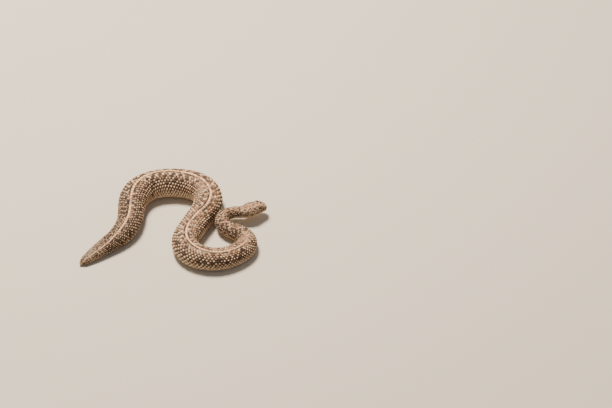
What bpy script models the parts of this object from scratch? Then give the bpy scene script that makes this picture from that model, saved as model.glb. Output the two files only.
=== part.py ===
"""A Namib sand adder, also called Peringuey's adder, at life size, lying in loose swings.

The body is one tube of changing width and depth. It follows a course that a short table of
bends sets out, and thin cuts part it into head, lower jaw, neck, trunk and tail. Each eye is
a ball in a socket. Lengths are in millimetres until a vertex is made, and in metres from
there on. +X runs the long way over the ground that the animal covers, +Z is up, and the
origin is on the ground below the middle of its outline.
"""

import math

import bmesh
import bpy
import numpy as np
from mathutils import Vector

MM = 0.001

# The course, seen from above. Each bend is given by how far its middle lies behind the
# snout, over what length it is spread, and how far it turns, in degrees and to the left
# positive, for someone who walks from the snout to the tail.
LENGTH = 252.0
SNOUT_AT = (51.04, 12.15)
TAILWARD_DEG = -150.5
BENDS = (
    (14, 8, -43),
    (28.5, 38, 182),
    (51.5, 37, -131),
    (77, 40, -65),
    (98, 34, -88),
    (142.5, 40, 91),
    (162.5, 45, 37),
    (186.5, 43, 78),
    (216.5, 40, -48),
)
COURSE_STEP = 0.25

# The girth: behind the snout, width, rise above the axis, drop below the axis.
GIRTH = (
    (0.0, 5.6, 2.0, 1.5),
    (2.5, 7.1, 2.7, 1.8),
    (4.5, 7.9, 3.1, 2.0),
    (7.0, 9.2, 3.4, 2.3),
    (9.7, 10.2, 3.4, 2.6),
    (12.0, 9.4, 3.3, 2.7),
    (15.0, 7.5, 3.2, 2.7),
    (19.0, 7.0, 3.1, 2.7),
    (25.0, 7.6, 3.4, 2.9),
    (31.0, 8.1, 3.7, 3.1),
    (40.0, 9.6, 4.4, 3.7),
    (50.0, 10.8, 4.9, 4.2),
    (60.0, 12.0, 5.5, 4.7),
    (72.0, 12.9, 5.9, 5.0),
    (84.0, 13.8, 6.3, 5.4),
    (96.0, 14.5, 6.7, 5.7),
    (126.0, 15.1, 6.9, 5.9),
    (140.0, 16.4, 7.5, 6.4),
    (155.0, 17.1, 7.9, 6.7),
    (186.0, 17.0, 7.8, 6.6),
    (200.0, 15.3, 7.0, 6.0),
    (215.0, 13.6, 6.3, 5.3),
    (229.0, 10.6, 4.9, 4.1),
    (241.0, 7.9, 3.6, 3.1),
    (248.0, 5.7, 2.6, 2.2),
    (252.0, 4.4, 2.0, 1.7),
)
SNOUT_ROUND = 2.2  # length over which the snout closes
TAIL_ROUND = 4.0
# Superellipse powers of the section: 2 is an ellipse, and more is squarer.
HEAD_CROWN_POWER = 2.5
BACK_POWER = 2.1
BELLY_POWER = 2.4
POWER_CHANGES = (10.0, 22.0)
PRESSED_SHARE = 0.03  # share of the width by which the belly flattens on the ground

# The neck and head are carried clear of the ground: how high, and between which places.
NECK_LIFT, NECK_LIFT_ENDS, NECK_LIFT_STARTS = 3.0, 26.0, 48.0
HEAD_LIFT, HEAD_LIFT_ENDS, HEAD_LIFT_STARTS = 0.8, 12.0, 24.0

# The head.
BROW_RISE, BROW_AT, BROW_LENGTH, BROW_WIDTH = 0.4, (4.6, 2.6), 1.6, 0.9
EYE_RADIUS = 1.0
EYE_BEHIND_SNOUT = 4.6
EYE_AROUND_DEG = 43.0  # from the top of the head towards its side
EYE_SUNK = 0.62  # how far its middle lies under the surface
SOCKET_GAP = 0.2
MOUTH_BELOW_AXIS = 0.7
JAW_ANGLE = 11.2  # where the lower jaw ends
CUT = 0.3  # width of the thin cuts between neighbours

# The lengths into which the body is parted, from the snout back.
HEAD_END, NECK_MIDDLE, NECK_END, VENT = 14.0, 24.0, 40.0, 227.0
TRUNK_LENGTHS = 8
AROUND = 24
HEAD_AROUND = 32
RING_SPACING = 2.35
HEAD_RING_SPACING = 0.75
LAST_RING = 0.04  # how near the first and last rings lie to the very tips

FINISHES = {  # linear red, green and blue, then roughness
    "sandy scales": ((0.36, 0.25, 0.15), 0.7),
    "greyer scales": ((0.30, 0.23, 0.15), 0.7),
    "pale scales": ((0.50, 0.40, 0.28), 0.65),
    "eye": ((0.30, 0.20, 0.09), 0.15),
}


def smooth_share(value):
    """Eases from 0 to 1 as the value does."""
    value = np.clip(value, 0.0, 1.0)
    return value * value * (3.0 - 2.0 * value)


def smooth_through(places, sizes, at):
    """A smooth curve through the stations that never swings past them."""
    slopes = np.diff(sizes) / np.diff(places)
    before, after = slopes[:-1], slopes[1:]
    tangents = np.zeros(len(places))
    same_way = before * after > 0
    tangents[1:-1][same_way] = (2 * before * after)[same_way] / (before + after)[same_way]
    i = np.clip(np.searchsorted(places, at, side="right") - 1, 0, len(slopes) - 1)
    span = places[i + 1] - places[i]
    t = (at - places[i]) / span
    start = sizes[i] * (1 + 2 * t) * (1 - t) ** 2 + sizes[i + 1] * t * t * (3 - 2 * t)
    return start + span * t * (1 - t) * (tangents[i] * (1 - t) - tangents[i + 1] * t)


def heading(behind):
    """The direction of the course, in radians, at a distance behind the snout."""
    turned = np.full(np.shape(behind), TAILWARD_DEG)
    for middle, spread, turn in BENDS:
        share = np.clip((behind - middle) / spread + 0.5, 0.0, 1.0)
        turned = turned + turn * (share - np.sin(2 * np.pi * share) / (2 * np.pi))
    return np.radians(turned)


PLACES = np.arange(0.0, LENGTH + COURSE_STEP, COURSE_STEP)
HALFWAY = heading(PLACES[:-1] + COURSE_STEP / 2)
COURSE_X = SNOUT_AT[0] + COURSE_STEP * np.concatenate([[0], np.cumsum(np.cos(HALFWAY))])
COURSE_Y = SNOUT_AT[1] + COURSE_STEP * np.concatenate([[0], np.cumsum(np.sin(HALFWAY))])
STATIONS = np.array(GIRTH).T


def rounding(behind):
    """How far the ends of the body are closed: 0 at a tip, 1 along the body."""
    share = 1.0
    for from_tip, length in ((behind, SNOUT_ROUND), (LENGTH - behind, TAIL_ROUND)):
        q = np.clip(from_tip / length, 0.0, 1.0)
        share = share * np.sqrt(q * (2 - q))
    return share


def full_girth(behind):
    """Half the width, the rise and the drop of the section, before the tips are rounded."""
    width, rise, drop = (smooth_through(STATIONS[0], row, behind) for row in STATIONS[1:])
    return width / 2, rise, drop


def lift(behind):
    """How far the underside is held clear of the ground."""
    neck = (NECK_LIFT_STARTS - behind) / (NECK_LIFT_STARTS - NECK_LIFT_ENDS)
    head = (HEAD_LIFT_STARTS - behind) / (HEAD_LIFT_STARTS - HEAD_LIFT_ENDS)
    return NECK_LIFT * smooth_share(neck) + HEAD_LIFT * smooth_share(head)


def axis_height(behind):
    half_width, _, drop = full_girth(behind)
    return drop - 2 * PRESSED_SHARE * half_width + lift(behind)


def brows(behind, across):
    """The low ridges over the eyes."""
    along = (behind - BROW_AT[0]) / BROW_LENGTH
    aside = (abs(across) - BROW_AT[1]) / BROW_WIDTH
    return BROW_RISE * np.exp(-along * along - aside * aside)


def body_point(behind, around):
    """A point of the outer surface. around is 0 on top, and positive to the animal's left."""
    half_width, rise, drop = (rounding(behind) * size for size in full_girth(behind))
    change = smooth_share((behind - POWER_CHANGES[0]) / (POWER_CHANGES[1] - POWER_CHANGES[0]))
    crown = HEAD_CROWN_POWER + (BACK_POWER - HEAD_CROWN_POWER) * change
    side, upward = math.sin(around), math.cos(around)
    power = 2 / (crown if upward > 0 else BELLY_POWER)
    across = math.copysign(half_width * abs(side) ** power, side)
    above = (rise if upward > 0 else drop) * math.copysign(abs(upward) ** power, upward)
    if upward > 0:
        above += brows(behind, across)
    way = float(heading(behind))
    # The animal faces against its course, so its left is the right hand of that course.
    left = Vector((math.sin(way), -math.cos(way), 0.0))
    middle = Vector((
        float(np.interp(behind, PLACES, COURSE_X)),
        float(np.interp(behind, PLACES, COURSE_Y)),
        float(axis_height(behind)),
    ))
    point = middle + left * across + Vector((0.0, 0.0, above))
    point.z = max(point.z, 0.0)
    return point


def own_material(node, finish):
    (red, green, blue), roughness = FINISHES[finish]
    made = bpy.data.materials.new(node)
    made.use_nodes = True
    shader = made.node_tree.nodes["Principled BSDF"]
    shader.inputs["Base Color"].default_value = (red, green, blue, 1.0)
    shader.inputs["Roughness"].default_value = roughness
    made.diffuse_color = (red, green, blue, 1.0)
    return made


def add_object(name, bm, parent, finish, place):
    """Makes an object of a mesh in world millimetres, with its origin at a place of its own."""
    bmesh.ops.recalc_face_normals(bm, faces=bm.faces[:])
    if bm.calc_volume(signed=True) < 0:
        bmesh.ops.reverse_faces(bm, faces=bm.faces[:])
    bmesh.ops.translate(bm, vec=-place, verts=bm.verts[:])
    bmesh.ops.scale(bm, vec=(MM, MM, MM), verts=bm.verts[:])
    mesh = bpy.data.meshes.new(name)
    bm.to_mesh(mesh)
    bm.free()
    mesh.shade_smooth()
    mesh.set_sharp_from_angle(angle=math.radians(50))
    if finish is not None:
        mesh.materials.append(own_material(name, finish))
    made = bpy.data.objects.new(name, mesh)
    made.location = place * MM
    made.parent = parent
    bpy.context.scene.collection.objects.link(made)
    return made


def spaced(start, end, spacing):
    return np.linspace(start, end, max(3, round((end - start) / spacing) + 1))


def snout_stations(start, end, spacing):
    """Stations that crowd towards the rounded tip of the snout."""
    turns = np.linspace(math.acos(1 - start / SNOUT_ROUND), math.pi / 2, 7)
    dome = SNOUT_ROUND * (1 - np.cos(turns))
    return np.concatenate([dome, spaced(SNOUT_ROUND, end, spacing)[1:]])


def tail_stations(start, end, spacing):
    """Stations that crowd towards the tip of the tail."""
    turns = np.linspace(math.pi / 2, math.acos(1 - (LENGTH - end) / TAIL_ROUND), 6)
    dome = LENGTH - TAIL_ROUND * (1 - np.cos(turns))
    return np.concatenate([spaced(start, LENGTH - TAIL_ROUND, spacing)[:-1], dome])


def tube(stations, segments):
    """A straight capped tube, bent onto the course between the first and last station."""
    bm = bmesh.new()
    bmesh.ops.create_cone(
        bm, cap_ends=True, segments=segments, radius1=1.0, radius2=1.0, depth=1.0
    )
    lengthwise = [e for e in bm.edges if abs(e.verts[0].co.z - e.verts[1].co.z) > 0.5]
    bmesh.ops.subdivide_edges(bm, edges=lengthwise, cuts=len(stations) - 2)
    shares = np.linspace(0.0, 1.0, len(stations))
    for vert in bm.verts:
        behind = float(np.interp(vert.co.z + 0.5, shares, stations))
        vert.co = body_point(behind, math.atan2(vert.co.x, vert.co.y))
    return bm


def body_length(name, start, end, parent, finish):
    """One length of neck or trunk, short of its neighbours by half a cut at each end."""
    stations = spaced(start + CUT / 2, end - CUT / 2, RING_SPACING)
    return add_object(name, tube(stations, AROUND), parent, finish, body_point(start, math.pi))


def box_cutter(name, low, high, parent):
    """A box in the head's own directions: behind the snout, to the left, and up."""
    bm = bmesh.new()
    bmesh.ops.create_cube(bm, size=1.0)
    for vert in bm.verts:
        vert.co = Vector(h if c > 0 else l for c, l, h in zip(vert.co, low, high))
    way = math.radians(TAILWARD_DEG)
    along = Vector((math.cos(way), math.sin(way), 0.0))
    left = Vector((math.sin(way), -math.cos(way), 0.0))
    for vert in bm.verts:
        behind, across, above = vert.co
        vert.co = Vector((*SNOUT_AT, 0.0)) + along * behind + left * across
        vert.co.z = above
    return as_helper(add_object(name, bm, parent, None, Vector()))


def as_helper(cutter):
    cutter.hide_render = True
    cutter.display_type = "WIRE"
    return cutter


def apply_cut(target, cutter, operation):
    cut = target.modifiers.new(cutter.name, "BOOLEAN")
    cut.operation = operation
    cut.solver = "EXACT"
    cut.object = cutter


def ball(name, middle, radius, parent, finish):
    bm = bmesh.new()
    bmesh.ops.create_icosphere(bm, subdivisions=3, radius=radius)
    bmesh.ops.translate(bm, vec=middle, verts=bm.verts[:])
    return add_object(name, bm, parent, finish, middle)


def eye_middle(side):
    """The middle of an eye, under the brow. side is +1 for the animal's left and -1 for its right."""
    surface = body_point(EYE_BEHIND_SNOUT, side * math.radians(EYE_AROUND_DEG))
    inner = Vector((
        float(np.interp(EYE_BEHIND_SNOUT, PLACES, COURSE_X)),
        float(np.interp(EYE_BEHIND_SNOUT, PLACES, COURSE_Y)),
        float(axis_height(EYE_BEHIND_SNOUT)),
    ))
    return surface + (inner - surface).normalized() * EYE_SUNK


def add_head(parent):
    """The head with the lower jaw parted along the mouth, and the two eyes in their sockets."""
    middle = body_point(HEAD_END, math.pi)
    stations = snout_stations(LAST_RING, HEAD_END - CUT / 2, HEAD_RING_SPACING)
    head = add_object("head", tube(stations, HEAD_AROUND), parent, "sandy scales", middle)
    jaw = add_object("lower_jaw", tube(stations, HEAD_AROUND), parent, "pale scales", middle)
    mouth = float(axis_height(EYE_BEHIND_SNOUT)) - MOUTH_BELOW_AXIS
    outside = (-20.0, -20.0, -20.0)
    below_mouth = (JAW_ANGLE, 20.0, mouth - CUT / 2)
    jaw_and_cut = (JAW_ANGLE + CUT, 20.0, mouth + CUT / 2)
    jaw_box = box_cutter("jaw_box", outside, below_mouth, parent)
    slit_box = box_cutter("slit_box", outside, jaw_and_cut, parent)
    apply_cut(jaw, jaw_box, "INTERSECT")
    apply_cut(head, slit_box, "DIFFERENCE")
    for name, side in (("eye_left", 1), ("eye_right", -1)):
        middle = eye_middle(side)
        ball(name, middle, EYE_RADIUS, parent, "eye")
        socket = ball(name + "_socket", middle, EYE_RADIUS + SOCKET_GAP, parent, None)
        apply_cut(head, as_helper(socket), "DIFFERENCE")


def add_trunk(parent):
    places = np.linspace(NECK_END, VENT, TRUNK_LENGTHS + 1)
    for number, (start, end) in enumerate(zip(places, places[1:]), 1):
        body_length(f"trunk_{number}", float(start), float(end), parent, "greyer scales")


def add_tail(parent):
    stations = tail_stations(VENT + CUT / 2, LENGTH - LAST_RING, RING_SPACING)
    middle = body_point(VENT, math.pi)
    add_object("tail", tube(stations, AROUND), parent, "sandy scales", middle)


def clear_scene():
    for old in list(bpy.data.objects):
        bpy.data.objects.remove(old)


def main():
    clear_scene()
    adder = bpy.data.objects.new("adder", None)
    bpy.context.scene.collection.objects.link(adder)
    add_head(adder)
    body_length("neck_1", HEAD_END, NECK_MIDDLE, adder, "sandy scales")
    body_length("neck_2", NECK_MIDDLE, NECK_END, adder, "sandy scales")
    add_trunk(adder)
    add_tail(adder)


if __name__ == "__main__":
    main()
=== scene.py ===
"""The looks of a life-size still model of a Namib sand adder, lying in loose swings.

One skin covers the whole animal. Every scale on it is a small solid of its own: keeled ones
on the back, broad plates under the belly, pairs under the tail, and small ones on the head.
Lengths are in millimetres until a vertex is placed, and in metres from there on.
"""

import math

import bmesh
import bpy
import numpy as np
from bpy.props import FloatProperty, FloatVectorProperty, IntProperty, PointerProperty
from mathutils import Matrix, Vector
from mathutils.bvhtree import BVHTree


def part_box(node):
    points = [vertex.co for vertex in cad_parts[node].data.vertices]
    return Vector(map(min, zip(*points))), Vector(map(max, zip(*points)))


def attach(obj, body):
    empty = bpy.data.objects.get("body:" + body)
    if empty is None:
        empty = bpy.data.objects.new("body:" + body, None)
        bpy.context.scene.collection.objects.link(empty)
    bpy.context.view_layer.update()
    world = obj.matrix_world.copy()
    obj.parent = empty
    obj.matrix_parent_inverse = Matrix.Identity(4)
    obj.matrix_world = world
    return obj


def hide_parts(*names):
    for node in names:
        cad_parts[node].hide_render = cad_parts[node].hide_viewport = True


bl_info = {
    "name": "Sand adder",
    "version": (1, 0, 0),
    "blender": (4, 5, 0),
    "location": "3D View > Sidebar > Adder",
    "description": "Builds the skin, scales, eyes and stage of a life-size sand adder",
    "category": "Object",
}

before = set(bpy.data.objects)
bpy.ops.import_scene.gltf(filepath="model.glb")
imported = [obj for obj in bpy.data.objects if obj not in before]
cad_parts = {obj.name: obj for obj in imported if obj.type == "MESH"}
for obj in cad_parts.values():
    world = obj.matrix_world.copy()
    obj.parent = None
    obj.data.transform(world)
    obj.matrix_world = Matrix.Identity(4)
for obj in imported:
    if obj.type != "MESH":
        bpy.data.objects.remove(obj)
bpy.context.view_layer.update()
MM = 0.001

# The course of the body, seen from above, as its solids have it. Each bend is given by how
# far its middle lies behind the snout, over what length it is spread, and how far it turns,
# in degrees and to the left positive, for someone who walks from the snout to the tail.
LENGTH = 252.0
SNOUT_AT = (51.04, 12.15)
TAILWARD_DEG = -150.5
BENDS = (
    (14, 8, -43),
    (28.5, 38, 182),
    (51.5, 37, -131),
    (77, 40, -65),
    (98, 34, -88),
    (142.5, 40, 91),
    (162.5, 45, 37),
    (186.5, 43, 78),
    (216.5, 40, -48),
)
COURSE_STEP = 0.25

# The girth: behind the snout, width, rise above the axis, drop below the axis.
GIRTH = (
    (0.0, 5.6, 2.0, 1.5),
    (2.5, 7.1, 2.7, 1.8),
    (4.5, 7.9, 3.1, 2.0),
    (7.0, 9.2, 3.4, 2.3),
    (9.7, 10.2, 3.4, 2.6),
    (12.0, 9.4, 3.3, 2.7),
    (15.0, 7.5, 3.2, 2.7),
    (19.0, 7.0, 3.1, 2.7),
    (25.0, 7.6, 3.4, 2.9),
    (31.0, 8.1, 3.7, 3.1),
    (40.0, 9.6, 4.4, 3.7),
    (50.0, 10.8, 4.9, 4.2),
    (60.0, 12.0, 5.5, 4.7),
    (72.0, 12.9, 5.9, 5.0),
    (84.0, 13.8, 6.3, 5.4),
    (96.0, 14.5, 6.7, 5.7),
    (126.0, 15.1, 6.9, 5.9),
    (140.0, 16.4, 7.5, 6.4),
    (155.0, 17.1, 7.9, 6.7),
    (186.0, 17.0, 7.8, 6.6),
    (200.0, 15.3, 7.0, 6.0),
    (215.0, 13.6, 6.3, 5.3),
    (229.0, 10.6, 4.9, 4.1),
    (241.0, 7.9, 3.6, 3.1),
    (248.0, 5.7, 2.6, 2.2),
    (252.0, 4.4, 2.0, 1.7),
)
SNOUT_ROUND, TAIL_ROUND = 2.2, 4.0  # over what length each tip is rounded
# How full a section is, as the power of a superellipse, and where the head's gives way.
HEAD_CROWN_POWER, BACK_POWER, BELLY_POWER = 2.5, 2.1, 2.4
POWER_CHANGES = (10.0, 22.0)
PRESSED_SHARE = 0.03  # how far the belly is pressed flat, as a share of the width
# How far neck and head are held up, and between which places they rise.
NECK_LIFT, NECK_RISES = 3.0, (48.0, 26.0)
HEAD_LIFT, HEAD_RISES = 0.8, (24.0, 12.0)
BROW_RISE, BROW_AT, BROW_LENGTH, BROW_WIDTH = 0.4, (4.6, 2.6), 1.6, 0.9
THINNEST_COAT = 0.18

# How far the body is rolled about its own axis, to the animal's left positive: behind the
# snout, and share of a full turn. The swings of a snake lean as it throws its loops.
ROLL = (
    (0, 0.0),
    (50, 0.0),
    (66, -0.016),
    (76, -0.008),
    (86, 0.016),
    (96, 0.035),
    (104, 0.02),
    (112, -0.004),
    (119, 0.006),
    (130, 0.046),
    (136, 0.041),
    (143, 0.02),
    (150, 0.017),
    (160, 0.034),
    (170, 0.06),
    (178, 0.05),
    (187, 0.02),
    (197, 0.004),
    (208, 0.0),
    (218, -0.012),
    (227, -0.04),
    (234, -0.078),
    (240, -0.09),
    (252, -0.09),
)

SKIN_NODES = ["head", "lower_jaw", "neck_1", "neck_2", "tail"] + [
    name for name in sorted(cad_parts) if name.startswith("trunk_")
]
HEAD_LENGTH = 14.6  # where the rows of the body take over from the scales of the head
VENT = 227.0
BACK_REACH = 0.385  # the turn at which the rows of the back meet the belly plates
MOUTH_HEIGHT_AT, MOUTH_BELOW_AXIS = 4.6, 0.7
SMILE, SMILE_STARTS, JAW_ANGLE = 0.35, 6.5, 11.2  # the mouth rises towards the jaw's angle
NOSTRIL_AT, NOSTRIL_TURN = 1.15, 0.175
PUPIL_HALF_WIDTH, PUPIL_HALF_HEIGHT = 0.11, 0.6  # as shares of the eye's radius

BAKE_MAP = "OFBake"
PATCH = 0.003  # size on the bake map of one scale
MAP_EDGE = 0.02  # left free around the bake map


def linear(hex_colour):
    """An sRGB hex value as linear red, green and blue."""
    parts = [int(hex_colour[i : i + 2], 16) / 255 for i in (0, 2, 4)]
    return [c / 12.92 if c <= 0.04045 else ((c + 0.055) / 1.055) ** 2.4 for c in parts]


def fade(value, start, end):
    """Eases from 0 at the start to 1 at the end, which may also lie below the start."""
    share = np.clip((value - start) / (end - start), 0.0, 1.0)
    return share * share * (3.0 - 2.0 * share)


# ---------------------------------------------------------------- the shape of the body


def smooth_through(places, sizes, at):
    """A smooth curve through the stations that never swings past them."""
    slopes = np.diff(sizes) / np.diff(places)
    before, after = slopes[:-1], slopes[1:]
    tangents = np.zeros(len(places))
    same_way = before * after > 0
    tangents[1:-1][same_way] = (2 * before * after)[same_way] / (before + after)[same_way]
    i = np.clip(np.searchsorted(places, at, side="right") - 1, 0, len(slopes) - 1)
    span = places[i + 1] - places[i]
    t = (at - places[i]) / span
    start = sizes[i] * (1 + 2 * t) * (1 - t) ** 2 + sizes[i + 1] * t * t * (3 - 2 * t)
    return start + span * t * (1 - t) * (tangents[i] * (1 - t) - tangents[i + 1] * t)


def heading(behind):
    """The direction of the course, in radians, at a distance behind the snout."""
    turned = np.full(np.shape(behind), TAILWARD_DEG)
    for middle, spread, turn in BENDS:
        share = np.clip((behind - middle) / spread + 0.5, 0.0, 1.0)
        turned = turned + turn * (share - np.sin(2 * np.pi * share) / (2 * np.pi))
    return np.radians(turned)


PLACES = np.arange(0.0, LENGTH + COURSE_STEP, COURSE_STEP)
HALFWAY = heading(PLACES[:-1] + COURSE_STEP / 2)
COURSE_X = SNOUT_AT[0] + COURSE_STEP * np.concatenate([[0], np.cumsum(np.cos(HALFWAY))])
COURSE_Y = SNOUT_AT[1] + COURSE_STEP * np.concatenate([[0], np.cumsum(np.sin(HALFWAY))])
STATIONS = np.array(GIRTH).T


def rounding(behind):
    """How far the ends of the body are closed: 0 at a tip, 1 along the body."""
    share = 1.0
    for from_tip, length in ((behind, SNOUT_ROUND), (LENGTH - behind, TAIL_ROUND)):
        q = np.clip(from_tip / length, 0.0, 1.0)
        share = share * np.sqrt(q * (2 - q))
    return share


def full_girth(behind):
    """Half the width, the rise and the drop of the section, before the tips are rounded."""
    width, rise, drop = (smooth_through(STATIONS[0], row, behind) for row in STATIONS[1:])
    return width / 2, rise, drop


def lift(behind):
    """How far the underside is held clear of the ground."""
    return NECK_LIFT * fade(behind, *NECK_RISES) + HEAD_LIFT * fade(behind, *HEAD_RISES)


def axis_height(behind):
    """The height of the body's axis over the ground."""
    half_width, _, drop = full_girth(behind)
    return drop - 2 * PRESSED_SHARE * half_width + lift(behind)


def roll(behind):
    """How far the body is rolled, as a share of a turn."""
    return smooth_through(*(np.array(row, float) for row in zip(*ROLL)), behind)


def coat_depth(behind):
    """How far the skin lies inside the outline that the scale tips reach."""
    width = 2 * full_girth(np.clip(behind, 0.0, LENGTH))[0]
    return np.maximum(bpy.context.scene.adder_scales.coat_share * width, THINNEST_COAT)


def shares(count):
    """Evenly spaced shares from 0 to 1."""
    return np.linspace(0.0, 1.0, count)


def snout_dome(count):
    """Distances that crowd towards the tip of the snout and stop just short of it."""
    first, last = 0.12, math.pi / 2
    return SNOUT_ROUND * (1 - np.cos(first + (last - first) * shares(count)))


def tail_dome(count):
    """Distances that crowd towards the tip of the tail and stop just short of it."""
    last = 0.97 * math.pi / 2
    return LENGTH - TAIL_ROUND * (1 - np.sin(last * shares(count)))


class BodyMap:
    """The outer surface, tabled by distance behind the snout and by turn around the body.

    A turn is a share of the way around the section: 0 on top, 0.5 and -0.5 underneath, and
    positive on the animal's left.
    """

    COLUMNS = 240
    FINE = 361  # points on half a section before they are spaced evenly
    HEAD_STEP, COARSE_FROM, BODY_STEP = 0.1, 17.0, 0.5
    SNOUT_ROWS, TIP_ROWS = 40, 30

    def __init__(self):
        head = np.arange(SNOUT_ROUND, self.COARSE_FROM, self.HEAD_STEP)
        body = np.arange(self.COARSE_FROM, LENGTH - TAIL_ROUND, self.BODY_STEP)
        self.behind = np.concatenate(
            [snout_dome(self.SNOUT_ROWS)[:-1], head, body, tail_dome(self.TIP_ROWS)]
        )
        across, above = self.sections()
        way = heading(self.behind)[:, None]
        x = np.interp(self.behind, PLACES, COURSE_X)[:, None]
        y = np.interp(self.behind, PLACES, COURSE_Y)[:, None]
        axis = axis_height(self.behind)[:, None]
        self.points = np.stack(
            [x + np.sin(way) * across, y - np.cos(way) * across, axis + above], axis=-1
        )
        ring = self.points[:, :-1]
        around = (np.roll(ring, -1, axis=1) - np.roll(ring, 1, axis=1)) / 2
        along = np.gradient(ring, self.behind, axis=0)
        outward = np.cross(around, along)
        outward /= np.linalg.norm(outward, axis=-1, keepdims=True)
        pace = np.linalg.norm(along, axis=-1, keepdims=True)
        self.outward, self.pace, self.tailward = (
            np.concatenate([table, table[:, :1]], axis=1)
            for table in (outward, pace, along / pace)
        )

    def sections(self):
        """Across and above, for each station and column, spaced evenly along the section."""
        half_width, rise, drop = full_girth(self.behind)
        share = rounding(self.behind)
        change = fade(self.behind, *POWER_CHANGES)
        crown = HEAD_CROWN_POWER + (BACK_POWER - HEAD_CROWN_POWER) * change
        angle = np.linspace(0.0, math.pi, self.FINE)
        side, upward = np.sin(angle), np.cos(angle)
        rows = []
        for i, behind in enumerate(self.behind):
            power = 2 / np.where(upward > 0, crown[i], BELLY_POWER)
            across = half_width[i] * share[i] * np.abs(side) ** power
            reach = np.where(upward > 0, rise[i], drop[i]) * share[i]
            above = reach * np.sign(upward) * np.abs(upward) ** power
            above += brows(behind, across) * (upward > 0)
            steps = np.hypot(np.diff(across), np.diff(above))
            length = np.concatenate([[0.0], np.cumsum(steps)])
            even = length[-1] * shares(self.COLUMNS // 2 + 1)
            rows.append((np.interp(even, length, across), np.interp(even, length, above)))
        left, above = np.array(rows).transpose(1, 0, 2)
        across = np.concatenate([-left[:, ::-1], left[:, 1:]], axis=1)
        # The first column is underneath, so the half section is laid out from there.
        return across, np.concatenate([above[:, ::-1], above[:, 1:]], axis=1)

    def look_up(self, table, behind, turn):
        """Values of a table between its rows and columns."""
        behind, turn = np.broadcast_arrays(np.asarray(behind, float), turn)
        row = np.interp(behind, self.behind, np.arange(len(self.behind)))
        column = (turn + 0.5) % 1.0 * self.COLUMNS
        r = np.minimum(row.astype(int), len(self.behind) - 2)
        c = np.minimum(column.astype(int), self.COLUMNS - 1)
        down, over = (row - r)[..., None], (column - c)[..., None]
        near = table[r, c] * (1 - over) + table[r, c + 1] * over
        far = table[r + 1, c] * (1 - over) + table[r + 1, c + 1] * over
        return near * (1 - down) + far * down

    def normal(self, behind, turn):
        """The way out of the body."""
        found = self.look_up(self.outward, behind, turn)
        return found / np.linalg.norm(found, axis=-1, keepdims=True)

    def surface(self, behind, turn, height=0.0):
        """Points at a height over the skin, pressed flat where the coat meets the ground."""
        under = coat_depth(behind) - height
        points = self.look_up(self.points, behind, turn)
        points = points - under[..., None] * self.normal(behind, turn)
        points[..., 2] = np.maximum(points[..., 2], np.maximum(under, 0.0))
        return points


def brows(behind, across):
    """The low ridges over the eyes."""
    along = (behind - BROW_AT[0]) / BROW_LENGTH
    aside = (np.abs(across) - BROW_AT[1]) / BROW_WIDTH
    return BROW_RISE * np.exp(-along * along - aside * aside)


BODY = BodyMap()


def eye_centre(side):
    """The middle of an eye, in millimetres. side is +1 for the left and -1 for the right."""
    low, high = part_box("eye_left" if side > 0 else "eye_right")
    return np.array((low + high) / 2) / MM


def eye_radius():
    """The radius of an eye, in millimetres."""
    low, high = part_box("eye_left")
    return (high.z - low.z) / 2 / MM


def eye_axis(side):
    """The direction in which an eye looks: outward from the nearest place on the head."""
    near = BODY.behind < HEAD_LENGTH
    gaps = np.linalg.norm(BODY.points[near] - eye_centre(side), axis=-1)
    row, column = np.unravel_index(np.argmin(gaps), gaps.shape)
    return BODY.outward[row, column]


# ------------------------------------------------------------------ the rows of scales

LAST_ROW_FROM_TIP = 1.2
LOWER_ROWS_WIDER = 0.06  # how far the lowest rows outgrow their even share of the side


def row_starts():
    """Where each row of scales around the body starts, from the neck to the tail's tip."""
    starts = [HEAD_LENGTH]
    while starts[-1] < LENGTH - LAST_ROW_FROM_TIP:
        starts.append(starts[-1] + float(row_pitch(np.array(starts[-1]))))
    return np.array(starts)


def row_pitch(behind):
    """The distance between rows around the body."""
    return bpy.context.scene.adder_scales.pitch_share * 2 * full_girth(behind)[0]


def row_number(behind):
    """The number of the row around the body, counted with fractions from the neck back."""
    starts = row_starts()
    first = (behind - starts[0]) / (starts[1] - starts[0])
    return np.where(behind < starts[0], first, np.interp(behind, starts, np.arange(len(starts))))


def lengthwise_turn(lane):
    """The turn of a lengthwise row, counted from the middle of the back. Lower rows are wider."""
    edge = bpy.context.scene.adder_scales.rows_across / 2
    even = BACK_REACH * (1 - LOWER_ROWS_WIDER) / edge
    return lane * (even + LOWER_ROWS_WIDER * BACK_REACH / edge**3 * np.asarray(lane) ** 2)


def lengthwise_row(turn):
    """The lengthwise row at a turn, positive on the animal's left, counted with fractions."""
    lanes = np.linspace(0.0, 20.0, 201)  # past the middle of the belly
    return np.sign(turn) * np.interp(np.abs(turn), lengthwise_turn(lanes), lanes)


# -------------------------------------------------------------------------- the markings

# Spots lie on a loose lattice. A kind of spot has its reach, how far it strays, and a seed.
SPOT_EVERY = (2.0, 1.9)  # rows and lanes from one spot to the next
SPOT_EDGE = 0.25  # how softly a spot ends, in scales
BACK_SPOTS, PALE_SPOTS = (0.5, 0.14, 17), (0.52, 0.3, 23)
NECK_SPOT_REACH, HEAD_SPOT_REACH, NECK_SPOTS = 0.82, 0.58, (0.16, 18)
NECK_SPOT_SIZE = 1.3  # how much larger the pattern is on the neck

# Where the markings, the painted light and the painted shade change along the body, behind the
# snout.
HEAD_SPOTS_SHRINK = (20.0, 14.0)
LINE_FADES_IN = (44.0, 72.0)
NECK_PATTERN = (62.0, 42.0)
# Painted light: around here the body is drawn paler, as if more light fell on it.
LIT_MIDDLE_AT, LIT_MIDDLE_WITHIN = 122.0, 26.0
# Painted shade: towards the tail the sides are drawn darker.
REAR_SHADE_PAINTED = (170.0, 205.0)
TIP_PALES = (232.0, 244.0)

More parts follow.
